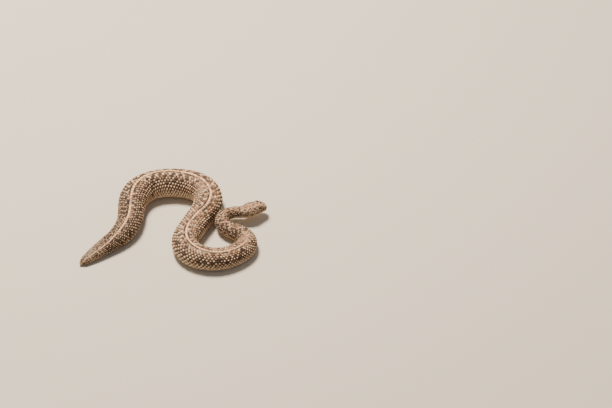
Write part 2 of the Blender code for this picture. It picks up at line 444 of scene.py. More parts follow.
# Where they change across it, in lanes from the middle of the back.
LINE_ENDS = (0.4, 0.8)
LINE_EDGE_ENDS = (1.2, 1.7)
# Towards the tail the sides darken nearer the back, which is painted shade.
FLANK_DARKENS, REAR_FLANK_SHADE_PAINTED = (0.7, 5.1), (0.0, 2.6)
# The lower sides are whitish of their own, and drawn paler still as painted light thrown up from
# the ground.
LOWER_SIDE_PALE_AND_LIT = (5.5, 9.7)
BELLY_PALES = (10.0, 12.0)


def lattice(row, lane, reach, stray, seed, size=1.0):
    """1 on the spots of a loose lattice that leans like the rows of scales, and 0 off them."""
    row, lane = row / size, lane / size
    steps, asides = 128, 32  # after so many spots the shifts come round again
    shifts = np.random.default_rng(seed).uniform(-stray, stray, (steps, asides, 2))
    nearest = np.full(np.shape(row), np.inf)
    for step in (-1, 0, 1):
        for aside in (-1, 0, 1):
            i = np.rint(row / SPOT_EVERY[0]).astype(int) + step
            j = np.rint(lane / SPOT_EVERY[1]).astype(int) + aside
            shift = shifts[i % steps, j % asides]
            off_row = row - (i + 0.5 * (j % 2) + shift[..., 0]) * SPOT_EVERY[0]
            off_lane = lane - (j + shift[..., 1]) * SPOT_EVERY[1]
            nearest = np.minimum(nearest, np.hypot(off_row, off_lane))
    return fade(nearest, reach, reach - SPOT_EDGE)


def pigment(behind, turn, seed=None):
    """The markings of scales at these places: dark, pale, line, edge, flank. Each is a share.

    A seed adds flecks that fall on one scale and not on its neighbour.
    """
    row, lane = row_number(behind), lengthwise_row(turn)
    rng = np.random.default_rng(seed)
    luck = rng.random((4, len(row))) if seed is not None else np.full((4, len(row)), 0.5)
    off_middle = np.abs(lane)
    # rear is the share of the painted shade on the sides towards the tail.
    neck, rear = fade(behind, *NECK_PATTERN), fade(behind, *REAR_SHADE_PAINTED)
    tip = fade(behind, *TIP_PALES)
    # Painted light pales the sides and the dark spots around the middle of the body.
    painted_light = np.exp(-(((behind - LIT_MIDDLE_AT) / LIT_MIDDLE_WITHIN) ** 2))
    low = fade(off_middle, *LOWER_SIDE_PALE_AND_LIT) * (1 - 0.55 * rear)
    under = fade(off_middle, *BELLY_PALES)
    beside = fade(off_middle, *LINE_ENDS)
    # The sides darken from the back down. Towards the tail they darken sooner and more, which is
    # painted shade on the tail's sides.
    start, end = (a + (b - a) * rear for a, b in zip(FLANK_DARKENS, REAR_FLANK_SHADE_PAINTED))
    flank = fade(off_middle, start, end) * (1 - 0.4 * painted_light)

    # Dark spots, larger on the neck, and dark flecks on single scales.
    dark = lattice(row, lane, *BACK_SPOTS) * (1 - neck)
    shrink = (NECK_SPOT_REACH - HEAD_SPOT_REACH) * fade(behind, *HEAD_SPOTS_SHRINK)
    reach = NECK_SPOT_REACH - shrink
    on_neck = lattice(row, lane, reach, *NECK_SPOTS, NECK_SPOT_SIZE)
    dark = np.maximum(dark, on_neck * neck)
    dark = dark * (0.6 + 0.3 * neck + (0.4 - 0.3 * neck) * luck[3])
    dark = np.maximum(dark, 0.9 * (luck[0] < 0.03 + 0.07 * flank * (1 - low) + 0.2 * tip))
    # Painted light pales the dark spots in the middle of the body, and painted shade darkens the
    # sides towards the tail.
    dark = np.maximum(dark * (1 - 0.25 * painted_light), 0.28 * rear * flank)

    # Pale spots halfway between the dark ones, pale flecks, and the pale lower side, whose whitish
    # colour is partly its own and partly painted light from the ground.
    pale = 0.8 * lattice(row + SPOT_EVERY[0] / 2, lane, *PALE_SPOTS)
    pale = np.maximum(pale, luck[1] < 0.08 + 0.16 * flank * (1 - rear)) * (1 - neck * dark)
    pale = np.maximum(pale, np.maximum(low, 0.85 * tip) * (0.5 + 0.5 * luck[1]))

    # The line down the back and its dark edges, both broken here and there.
    shows = 0.1 + 0.9 * fade(behind, *LINE_FADES_IN)
    off_line = 1 - shows * (1 - beside)
    line = shows * (1 - beside) * (1 - 0.6 * fade(luck[2], 0.3, 0.1))
    edge = shows * beside * (1 - fade(off_middle, *LINE_EDGE_ENDS))
    edge = edge * (0.15 + 0.85 * fade(luck[2], 0.3, 0.6))

    pale = np.maximum(pale * off_line, under)
    dark = dark * off_line * (1 - (0.6 - 0.3 * tip) * pale)
    return dark, pale, line, edge, flank * (1 - 0.6 * low - 0.4 * under) * (1 - 0.5 * tip)


# ------------------------------------------------------------------------ mesh helpers


def add_object(name, mesh, material):
    """Adds a mesh to the scene as a piece of the model."""
    mesh.name = name
    mesh.materials.clear()
    mesh.materials.append(material)
    made = bpy.data.objects.new(name, mesh)
    bpy.context.scene.collection.objects.link(made)
    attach(made, "root")
    return made


def mesh_of(bm, name):
    """Turns a bmesh into a mesh and frees it."""
    mesh = bpy.data.meshes.new(name)
    bm.to_mesh(mesh)
    bm.free()
    return mesh


def coordinates(mesh):
    """One row of x, y and z for each vertex."""
    found = np.empty(len(mesh.vertices) * 3)
    mesh.vertices.foreach_get("co", found)
    return found.reshape(-1, 3)


def place_vertices(mesh, points):
    """Moves the vertices to points in millimetres."""
    mesh.vertices.foreach_set("co", (points * MM).ravel())
    mesh.update()


def corner_vertices(mesh):
    """The vertex of each corner of each face."""
    found = np.empty(len(mesh.loops), dtype=int)
    mesh.loops.foreach_get("vertex_index", found)
    return found


def set_bake_map(mesh, corners):
    """Gives each corner of each face its place on the bake map."""
    layer = mesh.uv_layers.new(name=BAKE_MAP)
    layer.uv.foreach_set("vector", np.ascontiguousarray(corners, np.float32).ravel())


def set_pigment(mesh, marks, along, away, chance, pit_shade=0.0):
    """Stores what the materials read: the markings, the painted shade of nostrils and mouth line,
    and the place on the scale.

    along runs from the root of a scale to its tip, and away runs from -1 on the side of the
    back's middle to 1 on the other side.
    """
    dark, pale, line, edge, flank = marks
    tables = {
        "marks": (dark, pale, line),
        "shades": (flank, edge, np.broadcast_to(pit_shade, np.shape(dark))),
        "scale": (along, away, np.broadcast_to(chance, np.shape(dark))),
    }
    for name, columns in tables.items():
        layer = mesh.attributes.new(name, "FLOAT_VECTOR", "POINT")
        layer.data.foreach_set("vector", np.stack(columns, axis=-1).astype(np.float32).ravel())


CROWD_TO_KEEL, CROWD_TO_TIP = 1.6, 1.4  # above 1, so a scale's points crowd there


def scale_template(across, along, outline, profile, thickness):
    """One scale with its middle on the Y axis, from its root at 0 to its tip at 1."""
    bm = bmesh.new()
    bmesh.ops.create_grid(bm, x_segments=across, y_segments=along, size=1.0)
    for vert in bm.verts:
        x = math.copysign(abs(vert.co.x) ** CROWD_TO_KEEL, vert.co.x)
        y = 1 - (0.5 - vert.co.y / 2) ** CROWD_TO_TIP
        vert.co = (x * outline(y), y, profile(x, y))
    rim = [edge for edge in bm.edges if edge.is_boundary]
    made = bmesh.ops.extrude_edge_only(bm, edges=rim)["geom"]
    lower = [item for item in made if isinstance(item, bmesh.types.BMVert)]
    bmesh.ops.translate(bm, vec=(0.0, 0.0, -thickness), verts=lower)
    bmesh.ops.holes_fill(bm, edges=[e for e in bm.edges if e.is_boundary], sides=0)
    bmesh.ops.recalc_face_normals(bm, faces=bm.faces[:])
    if bm.calc_volume(signed=True) < 0:
        bmesh.ops.reverse_faces(bm, faces=bm.faces[:])
    return mesh_of(bm, "scale")


def repeat(kind, count):
    """Many copies of a kind of scale in one mesh, with the number of the copy of each vertex."""
    template = scale_template(*kind)
    source = bpy.data.objects.new("repeat", template)
    bpy.context.scene.collection.objects.link(source)
    array = source.modifiers.new("copies", "ARRAY")
    array.count = count
    array.use_relative_offset = False
    array.use_constant_offset = False
    graph = bpy.context.evaluated_depsgraph_get()
    mesh = bpy.data.meshes.new_from_object(source.evaluated_get(graph))
    each = len(template.vertices)
    bpy.data.objects.remove(source)
    bpy.data.meshes.remove(template)
    return mesh, np.repeat(np.arange(count), each)


SHARP_EDGE_DEG = 60.0


def add_coat(name, mesh, belly=False):
    """Adds a piece of the coat: keeled horn, or the smoother horn of the pale plates."""
    mesh.shade_smooth()
    mesh.set_sharp_from_angle(angle=math.radians(SHARP_EDGE_DEG))
    add_object(name, mesh, horn(belly))


# Outlines and profiles of the kinds of scale. x runs from -1 to 1 across a scale, and y from
# 0 at its root to 1 at its tip. An outline is half the width there and a profile the height.


def leaf_outline(y):
    """Widest near the middle, with a rounded point at the tip."""
    return max(1 - abs(2 * y**1.1 - 1) ** 2.4, 0.0) ** 0.62 * (1 - 0.12 * y) + 0.05


def keeled_profile(x, y):
    """Rises from the root to the tip, with a ridge down the middle."""
    ridge = max(0.0, 1 - abs(x) / 0.34) * min(1.0, 0.3 + y)
    return -0.3 + 0.95 * y - 0.3 * x * x + 0.55 * ridge * (1 - 0.5 * y**4)


def plate_outline(y):
    """Square, and hardly narrower at the tip."""
    return 1 - 0.1 * y**3


def plate_profile(x, y):
    """Rises evenly to the tip, which lies over the next root."""
    return -0.2 + 1.05 * y - 0.1 * abs(x) ** 3


def bead_outline(y):
    """Round at both ends."""
    return max(1 - abs(2 * y - 1) ** 2.6, 0.0) ** 0.5 + 0.04


def bead_profile(x, y):
    """A low cushion."""
    return 0.15 + 0.5 * (1 - abs(2 * y - 1) ** 4) * (1 - 0.45 * x * x)


def lip_outline(y):
    """Nearly square, with rounded corners."""
    return 0.72 + 0.28 * (1 - abs(2 * y - 1) ** 3) ** 0.5


def lip_profile(x, y):
    """A flat cushion that falls off at its edges."""
    return 0.1 + 0.6 * (1 - abs(2 * y - 1) ** 4) * (1 - x**4)


def crown_profile(x, y):
    """Rises soon after the root and then lies along the head, with a low ridge."""
    ridge = max(0.0, 1 - abs(x) / 0.4) * min(1.0, y / 0.5)
    risen = min(1.0, y / 0.8)
    return -0.4 + 1.15 * risen * (2 - risen) - 0.35 * x * x + 0.32 * ridge * (1 - 0.6 * y**4)


# The kinds of scale: faces across and along, outline, profile and thickness.
KEELED = (6, 6, leaf_outline, keeled_profile, 0.25)
TIP_PETAL = (6, 8, leaf_outline, keeled_profile, 0.25)
TAIL_END = (10, 10, bead_outline, bead_profile, 0.5)
BELLY_PLATE = (16, 3, plate_outline, plate_profile, 0.25)
TAIL_PLATE = (8, 3, plate_outline, plate_profile, 0.25)
HEAD_SCALE = (6, 6, leaf_outline, crown_profile, 0.5)
RING_SCALE = (4, 5, bead_outline, bead_profile, 0.6)
LIP_PLATE = (6, 6, lip_outline, lip_profile, 0.5)
LEAN = 0.12  # how far the tips of scales stray to and fro, as a share of half their width
SNOUT_CLEAR = 0.3  # scales stay this far behind the tip of the snout


def lay_on_body(mesh, copy, behind, turn, half_turn, length, rise, chance):
    """Bends each copy of a scale onto the body, and returns across and along for each vertex.

    Widths are turns, so the scales crowd inside a bend and spread outside it as the skin does.
    """
    x, y, z = coordinates(mesh).T
    at = np.clip(behind[copy] + y * length[copy], SNOUT_CLEAR, BODY.behind[-1])
    lean = (chance[copy] - 0.5) * LEAN
    around = turn[copy] + (x + lean * y) * half_turn[copy]
    height = z * rise[copy] * coat_depth(at)
    place_vertices(mesh, BODY.surface(at, around + roll(at), height))
    return x, y


def patch_map(mesh, copy, x, y, behind, turn):
    """A small patch for each scale, where its root lies on the piece's part of the skin."""
    centre = np.stack([turn, behind], axis=-1)
    centre = (centre - centre.min(axis=0)) / np.ptp(centre, axis=0)
    centre = centre * (1 - 2 * MAP_EDGE) + MAP_EDGE
    spot = centre[copy] + PATCH * np.stack([x / 2, y - 0.5], axis=-1)
    set_bake_map(mesh, spot[corner_vertices(mesh)])


# --------------------------------------------------------------------------- materials


def add(tree, kind, inputs=None, **settings):
    """Adds a node with its settings and the values or links of its inputs. Returns its outputs."""
    node = tree.nodes.new("ShaderNode" + kind)
    for name, value in settings.items():
        setattr(node, name, value)
    for socket, value in (inputs or {}).items():
        if isinstance(value, bpy.types.NodeSocket):
            tree.links.new(value, node.inputs[socket])
        else:
            node.inputs[socket].default_value = value
    return node.outputs


def new_material(name):
    """A material with an empty node tree."""
    made = bpy.data.materials.new(name)
    made.use_nodes = True
    made.node_tree.nodes.clear()
    return made


MIX_FACTOR, MIX_UNDER, MIX_OVER, MIXED = 0, 6, 7, 2  # sockets of a mix of two colours
RAMP = ("Value", "From Min", "From Max", "To Min", "To Max")


def lay_over(tree, tone, layers):
    """Lays colours over a tone. A layer is a colour and ramps whose shares are multiplied.

    A ramp is a value, where it starts and ends, and the share there.
    """
    for colour, *ramps in layers:
        cover = 1.0
        for ramp in ramps:
            inputs = dict(zip(RAMP, ramp))
            share = add(tree, "MapRange", inputs, interpolation_type="SMOOTHSTEP")[0]
            cover = add(tree, "Math", {0: cover, 1: share}, operation="MULTIPLY")[0]
        mixed = {MIX_FACTOR: cover, MIX_UNDER: tone, MIX_OVER: colour}
        tone = add(tree, "Mix", mixed, data_type="RGBA")[MIXED]
    return tone


# Sizes in the horn, in millimetres: patches of lighter horn, dark peppering, and the grain,
# which is drawn as coarse as it can show.
PATCHES, PEPPER, GRAIN = 14.0, 0.3, 0.12
GRAIN_DEPTH = 0.02
DARK_ROOTS_GROW = 0.28  # over how much more of a scale its root is dark on the flank
SCALE_ROUGHNESS, PLATE_ROUGHNESS = (0.62, 0.8), (0.5, 0.62)


def keratin(name, belly):
    """Keratin scales over living skin: dull and dry, with the pigment laid down scale by scale.

    belly is for the broad plates and the lips, which are smoother and cream white.
    """
    colours = bpy.context.scene.adder_colours
    material = new_material(name)
    tree = material.node_tree
    stored = {}
    for attribute in ("marks", "shades", "scale"):
        vector = add(tree, "Attribute", attribute_name=attribute)["Vector"]
        stored[attribute] = add(tree, "SeparateXYZ", {0: vector})
    dark, pale, line = stored["marks"]
    flank, edge, pit_shade = stored["shades"]
    along, away, chance = stored["scale"]
    aside = add(tree, "Math", {0: away}, operation="ABSOLUTE")[0]
    root = {0: flank, 1: -DARK_ROOTS_GROW, 2: along}
    root = add(tree, "Math", root, operation="MULTIPLY_ADD")[0]
    place = add(tree, "TexCoord")["Object"]
    patches, pepper, grain = (
        add(tree, "TexNoise", {"Vector": place, "Scale": 1 / (size * MM), "Detail": detail})[0]
        for size, detail in ((PATCHES, 3.0), (PEPPER, 1.0), (GRAIN, 2.0))
    )
    if belly:
        tone = colours.belly
        layers = (
            (colours.pale_spot, (patches, 0.45, 0.65, 0.0, 0.3)),
            (colours.flank, (chance, 0.35, 0.0, 0.0, 0.4)),
            (colours.between, (along, 0.6, 0.3, 0.0, 0.35)),
            (colours.dark_spot, (dark, 0.0, 1.0, 0.0, 0.8)),
            (colours.dark_spot, (pepper, 0.6, 0.72, 0.0, 0.2)),
            # Painted shade in the nostrils and along the mouth line.
            (colours.mouth, (pit_shade, 0.0, 1.0, 0.0, 1.0)),
        )
    else:
        tone = colours.back
        layers = (
            # From the back down to the flank, in patches, and a little different on each scale.
            (colours.flank, (flank, 0.0, 1.0, 0.0, 1.0)),
            (colours.keel, (patches, 0.42, 0.62, 0.0, 0.3)),
            (colours.between, (chance, 0.5, 0.0, 0.0, 0.6)),
            (colours.keel, (chance, 0.6, 1.0, 0.0, 0.5)),
            # Pale spots, and the cream lower side, partly its own colour and partly painted light
            # from the ground.
            (colours.pale_spot, (pale, 0.0, 1.0, 0.0, 0.8)),
            (colours.belly, (pale, 0.3, 1.0, 0.0, 0.8), (flank, 0.9, 0.5, 0.0, 1.0)),
            # The keel and the tip of a scale are pale, and palest on the flank.
            (colours.keel, (along, 0.6, 0.92, 0.0, 0.8), (aside, 0.6, 0.15, 0.2, 1.0),
             (chance, 0.1, 0.9, 0.35, 1.0)),
            (colours.pale_spot, (along, 0.62, 0.9, 0.0, 0.9), (aside, 0.7, 0.2, 0.1, 1.0),
             (flank, 0.0, 1.0, 0.0, 1.0), (chance, 0.1, 0.6, 0.45, 1.0)),
            # Dark spots, and the dark roots and rims of all scales.
            (colours.dark_spot, (dark, 0.0, 1.0, 0.0, 0.95)),
            (colours.between, (root, 0.62, 0.38, 0.0, 0.95)),
            (colours.between, (aside, 0.4, 0.9, 0.0, 0.9), (flank, 0.0, 1.0, 0.5, 1.0)),
            # The line down the back between its dark edges.
            (colours.dark_spot, (edge, 0.0, 1.0, 0.0, 0.9), (away, 0.6, 0.0, 0.0, 1.0)),
            (colours.dark_spot, (line, 0.0, 1.0, 0.0, 0.85), (aside, 0.5, 0.7, 0.0, 1.0)),
            (colours.line, (line, 0.0, 1.0, 0.0, 0.95), (aside, 0.68, 0.46, 0.0, 1.0),
             (along, 0.35, 0.6, 0.3, 1.0)),
            (colours.dark_spot, (pepper, 0.6, 0.72, 0.0, 0.4)),
            # Painted shade in the nostrils and along the mouth line.
            (colours.mouth, (pit_shade, 0.0, 1.0, 0.0, 1.0)),
        )
    bump = {"Height": grain, "Strength": 0.4, "Distance": GRAIN_DEPTH * MM}
    least, most = PLATE_ROUGHNESS if belly else SCALE_ROUGHNESS
    rough = dict(zip(RAMP, (grain, 0.3, 0.7, least, most)))
    surface = {
        "Base Color": lay_over(tree, tone, layers),
        "Roughness": add(tree, "MapRange", rough, interpolation_type="SMOOTHSTEP")[0],
        "IOR": 1.54,
        "Specular IOR Level": 0.3,
        "Normal": add(tree, "Bump", bump)[0],
    }
    add(tree, "OutputMaterial", {"Surface": add(tree, "BsdfPrincipled", surface)[0]})
    return material


def clear_scale(name, side):
    """The clear scale over an eye: a wet gloss on a sand-coloured iris with an upright pupil."""
    colours = bpy.context.scene.adder_colours
    material = new_material(name)
    tree = material.node_tree
    outward = Vector(eye_axis(side))
    way = math.radians(TAILWARD_DEG)
    tailward = Vector((math.cos(way), math.sin(way), 0.0))
    upright = outward.cross(tailward).normalized()
    tailward = upright.cross(outward).normalized()
    local = {
        "Vector": add(tree, "TexCoord")["Object"],
        "Location": Vector(eye_centre(side)) * MM,
        "Rotation": Matrix((tailward, upright, outward)).transposed().to_euler(),
        "Scale": [eye_radius() * MM] * 3,
    }
    place = add(tree, "Mapping", local, vector_type="TEXTURE")[0]
    spread = []
    for stretch in ((1.0, 1.0, 0.0), (1 / PUPIL_HALF_WIDTH, 1 / PUPIL_HALF_HEIGHT, 0.0)):
        flat = add(tree, "VectorMath", {0: place, 1: stretch}, operation="MULTIPLY")[0]
        spread.append(add(tree, "VectorMath", {0: flat}, operation="LENGTH")["Value"])
    from_middle, in_slit = spread
    fleck = add(tree, "TexNoise", {"Vector": place, "Scale": 7.0, "Detail": 4.0})[0]
    layers = (
        (colours.eye_fleck, (fleck, 0.42, 0.62, 0.0, 0.9)),
        (colours.eye_ring, (in_slit, 1.9, 1.2, 0.0, 0.8)),
        # Painted shade around the edge of the eye, where it sinks into its socket.
        (colours.mouth, (from_middle, 0.72, 0.95, 0.0, 1.0)),
        (colours.pupil, (in_slit, 1.15, 0.95, 0.0, 1.0)),
    )
    surface = {
        "Base Color": lay_over(tree, colours.iris, layers),
        "Roughness": 0.3,
        "IOR": 1.4,
        "Coat Weight": 1.0,
        "Coat Roughness": 0.04,
        "Coat IOR": 1.45,
    }
    add(tree, "OutputMaterial", {"Surface": add(tree, "BsdfPrincipled", surface)[0]})
    return material


def backdrop_paper(name):
    """Matt paper, even in colour."""
    material = new_material(name)
    tree = material.node_tree
    colour = [*bpy.context.scene.adder_stage.floor_colour, 1.0]
    surface = {"Base Color": colour, "Roughness": 0.9}
    add(tree, "OutputMaterial", {"Surface": add(tree, "BsdfPrincipled", surface)[0]})
    return material


def horn(belly=False):
    """The horn of scales or of plates, made where it is first needed."""
    name = "horn_plates" if belly else "horn_scales"
    return bpy.data.materials.get(name) or keratin(name, belly)


# -------------------------------------------------------------------- settings of the add-on


def colour_setting(name, description, hex_colour, size=4):
    return FloatVectorProperty(
        name=name,
        description=description,
        subtype="COLOR",
        size=size,
        min=0.0,
        max=1.0,
        default=[*linear(hex_colour), 1.0][:size],
    )


class AdderScales(bpy.types.PropertyGroup):
    rows_across: IntProperty(
        name="Rows across the back",
        description="How many lengthwise rows of scales lie between the belly plates",
        default=23,
        min=15,
        max=35,
    )
    pitch_share: FloatProperty(
        name="Pitch of the rows",
        description="Distance between rows around the body, as a share of its width",
        default=0.118,
        subtype="FACTOR",
        min=0.05,
        max=0.3,
    )
    coat_share: FloatProperty(
        name="Depth of the coat",
        description="How far the scale tips stand over the skin, as a share of the width",
        default=0.021,
        subtype="FACTOR",
        min=0.01,
        max=0.06,
    )
    head_scale: FloatProperty(
        name="Head scale size",
        description="Spacing of the small scales on the head, in millimetres",
        default=0.72,
        min=0.4,
        max=2.0,
    )


class AdderColours(bpy.types.PropertyGroup):
    back: colour_setting("Back", "Buff of the upper side", "A67D5C")
    flank: colour_setting("Flank", "Greyer brown of the sides", "785947")
    belly: colour_setting("Belly", "Cream white of the underside", "DAC7AB")
    line: colour_setting("Back line", "Pale line down the middle of the back", "F4C59A")
    pale_spot: colour_setting("Pale spots", "Whitish spots on the sides", "DFC09C")
    dark_spot: colour_setting("Dark spots", "Dark spots on back and sides", "251811")
    keel: colour_setting("Keels", "Pale ridge of each scale", "D3A37C")
    between: colour_setting("Between scales", "Skin that shows between the scales", "38261B")
    # The mouth colour is painted shade: it darkens the mouth line, the nostrils and the edge of
    # each eye.
    mouth: colour_setting("Mouth line", "Dark line of the lips and nostrils", "2B1C15")
    iris: colour_setting("Iris", "Sand gold of the eye", "7D5D36")
    eye_fleck: colour_setting("Iris flecks", "Dark flecks in the iris", "2F2016")
    eye_ring: colour_setting("Pupil edge", "Bright edge around the pupil", "A27E4C")
    pupil: colour_setting("Pupil", "Upright slit of the eye", "0B0806")


class AdderStage(bpy.types.PropertyGroup):
    floor_colour: colour_setting("Floor", "Colour of the plain pale floor", "CDC4B6", 3)
    key_power: FloatProperty(
        name="Key light",
        description="Power of the large soft light, in watts",
        default=35.0,
        subtype="POWER",
        min=0.0,
    )
    key_colour: colour_setting("Key colour", "Warm white of the large soft light", "FFF1DF", 3)
    fill_strength: FloatProperty(
        name="Fill",
        description="Strength of the even light from all sides",
        default=0.31,
        min=0.0,
    )


# ------------------------------------------------------------------------------ the skin


def tube_mesh(stations, columns):
    """A closed tube with one ring for each station, still straight.

    Returned with it, for each vertex: distance behind the snout, turn, and share of the rings.
    """
    bm = bmesh.new()
    bmesh.ops.create_cone(
        bm, cap_ends=True, cap_tris=True, segments=columns, radius1=1, radius2=1, depth=1
    )
    lengthwise = [e for e in bm.edges if abs(e.verts[0].co.z - e.verts[1].co.z) > 0.5]
    bmesh.ops.subdivide_edges(bm, edges=lengthwise, cuts=len(stations) - 2)
    mesh = mesh_of(bm, "tube")
    x, y, z = coordinates(mesh).T
    share = z + 0.5
    behind = np.interp(share, shares(len(stations)), stations)
    # Off the rings there are only the two points in the middle of the caps.
    behind = np.where(np.hypot(x, y) > 0.5, behind, np.where(z < 0, 0.0, LENGTH))
    return mesh, behind, np.arctan2(x, y) / (2 * math.pi), share


def skin_points(behind, turn):
    """Points on the skin. The tips lie in the middle of the ring nearest to them."""
    first, last = BODY.behind[0], BODY.behind[-1]
    points = BODY.surface(np.clip(behind, first, last), turn)
    for tip, ring in ((behind <= 0.0, first), (behind >= LENGTH, last)):
        around = BODY.surface(np.full(8, ring), np.arange(8) / 8)
        points[tip] = around.mean(axis=0)
    return points


def mouth_height(behind):
    """The height of the mouth line over the ground."""
    level = float(axis_height(np.array(MOUTH_HEIGHT_AT))) - MOUTH_BELOW_AXIS
    return level + SMILE * fade(behind, SMILE_STARTS, JAW_ANGLE)


def mouth_line(side):
    """Points along one side of the mouth, from the middle of the snout to the jaw angle."""
    turns = np.linspace(0.2, 0.5, 400)  # from the side of the head to the middle of the chin
    found = []
    for behind in BODY.behind[BODY.behind < JAW_ANGLE]:
        heights = BODY.surface(np.full(turns.shape, behind), turns)[:, 2]
        below = np.flatnonzero(heights <= mouth_height(behind))
        if len(below):
            found.append((behind, turns[below[0]]))
    behind, turn = np.array(found).T
    return behind, side * turn


def gap_to_mouth(points):
    """How far points on the head lie from the mouth line."""
    line = np.concatenate([BODY.surface(*mouth_line(side)) for side in (1, -1)])
    return np.linalg.norm(points[:, None] - line[None], axis=-1).min(axis=1)


def nostril(side):
    """The middle of a nostril."""
    return BODY.surface(np.array([NOSTRIL_AT]), np.array([side * NOSTRIL_TURN]))[0]


# The openings of the head: depth, and between which distances they sink and take painted shade.
SOCKET_DEPTH, SOCKET_WALL = 1.1, (0.98, 0.73)
NOSTRIL_DEPTH, NOSTRIL_WALL, NOSTRIL_SHADE = 0.5, (0.36, 0.16), (0.38, 0.26)
MOUTH_DEPTH, MOUTH_WALL, MOUTH_SHADE = 0.3, (0.26, 0.06), (0.22, 0.12)
BEHIND_EYE = 0.5  # how far behind the middle of an eye its socket begins


def gap_to_gaze(points, side):
    """How far points lie from the line along which an eye looks out."""
    offset = points - eye_centre(side)
    axis = eye_axis(side)
    along = offset @ axis
    gap = np.linalg.norm(offset - along[:, None] * axis, axis=1)
    return np.where(along > -BEHIND_EYE, gap, np.inf)


def sink_openings(points, normals, near):
    """Sinks the eye sockets, the nostrils and the line of the mouth into the skin, and paints
    shade into the nostrils and along the mouth line.
    """
    spots = points[near]
    sunk, dark = np.zeros((2, len(spots)))
    for side in (1, -1):
        socket = gap_to_gaze(spots, side)
        sunk = np.maximum(sunk, SOCKET_DEPTH * fade(socket, *SOCKET_WALL))
        hole = np.linalg.norm(spots - nostril(side), axis=1)
        # The dark in a nostril is painted shade.
        dark = np.maximum(dark, fade(hole, *NOSTRIL_SHADE))
        sunk = np.maximum(sunk, NOSTRIL_DEPTH * fade(hole, *NOSTRIL_WALL))
    lips = gap_to_mouth(spots)
    # The dark along the mouth line is painted shade.
    dark = np.maximum(dark, fade(lips, *MOUTH_SHADE))
    sunk = np.maximum(sunk, MOUTH_DEPTH * fade(lips, *MOUTH_WALL))
    depth, pit_shade = np.zeros((2, len(points)))
    depth[near], pit_shade[near] = sunk, dark
    return points - normals * depth[:, None], pit_shade


class ADDER_OT_skin(bpy.types.Operator):
    """One closed skin over head, neck, trunk and tail, with sockets, nostrils and mouth"""

    bl_idname = "adder.skin"
    bl_label = "Skin"
    COLUMNS, SNOUT_ROWS, TIP_ROWS = 144, 16, 12
    HEAD_STEP, HEAD_ENDS = 0.17, 15.5
    BODY_STEP, BODY_STARTS = 1.0, 16.0
    ROOT, RIM, EVEN = 0.2, 1.0, 0.5  # between the scales it is as dark as their roots and rims

    def execute(self, context):
        head = np.arange(SNOUT_ROUND + self.HEAD_STEP, self.HEAD_ENDS, self.HEAD_STEP)
        body = np.arange(self.BODY_STARTS, LENGTH - TAIL_ROUND, self.BODY_STEP)
        stations = np.concatenate(
            [snout_dome(self.SNOUT_ROWS), head, body, tail_dome(self.TIP_ROWS)]
        )
        mesh, behind, turn, share = tube_mesh(stations, self.COLUMNS)
        place = np.clip(behind, BODY.behind[0], BODY.behind[-1])
        points, pit_shade = sink_openings(
            skin_points(behind, turn), BODY.normal(place, turn), behind < HEAD_LENGTH
        )
        place_vertices(mesh, points)
        self.unwrap(mesh, turn, share)
        body_turn = (turn - roll(place) + 0.5) % 1.0 - 0.5
        along, away = np.full(len(points), self.ROOT), np.full(len(points), self.RIM)
        set_pigment(mesh, pigment(place, body_turn), along, away, self.EVEN, pit_shade)
        mesh.shade_smooth()
        skin = add_object("skin", mesh, horn())
        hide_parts(*SKIN_NODES)
        return {"FINISHED"}

    def unwrap(self, mesh, turn, share):
        """The tube cut open along the belly and laid flat."""
        corners = corner_vertices(mesh)
        u = turn[corners]
        counts = np.empty(len(mesh.polygons), dtype=int)
        mesh.polygons.foreach_get("loop_total", counts)
        face = np.repeat(np.arange(len(counts)), counts)
        middle = np.bincount(face, u) / counts
        spread = np.zeros(len(counts))
        np.maximum.at(spread, face, np.abs(u - middle[face]))
        # A face across the cut has corners on both its sides. They are brought to one side.
        u = np.where((spread > 0.2)[face] & (u > 0.25), u - 1.0, u)
        low = u.min()
        layout = np.stack([(u - low) / (u.max() - low), share[corners]], axis=-1)
        set_bake_map(mesh, layout * (1 - 2 * MAP_EDGE) + MAP_EDGE)


# ------------------------------------------------------------------- scales of the body


